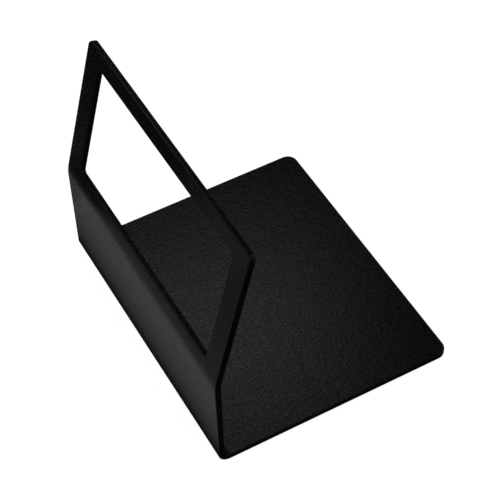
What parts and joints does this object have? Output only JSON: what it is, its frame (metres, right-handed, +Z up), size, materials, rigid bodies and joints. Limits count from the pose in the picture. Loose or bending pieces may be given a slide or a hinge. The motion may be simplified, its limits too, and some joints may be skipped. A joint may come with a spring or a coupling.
{
  "type": "book display stand",
  "caption": "Folded sheet-steel stand for showing a book face out: flat base, short upright and a windowed frame that tilts back over the base.",
  "frame": {"origin": "centre of the footprint, on the surface the pads stand on", "axes": "+X along the folds, +Y from the upright to the free edge of the base, +Z up"},
  "size_m": [0.1, 0.0828, 0.0899],
  "materials": {
    "powder_coat": "matte black powder coat with a fine sandy texture",
    "pad_rubber": "matte"
  },
  "bodies": {
    "root": {"folded_sheet": "powder_coat", "pad_front_left": "pad_rubber", "pad_front_right": "pad_rubber", "pad_rear_left": "pad_rubber", "pad_rear_right": "pad_rubber"}
  },
  "joints": []
}
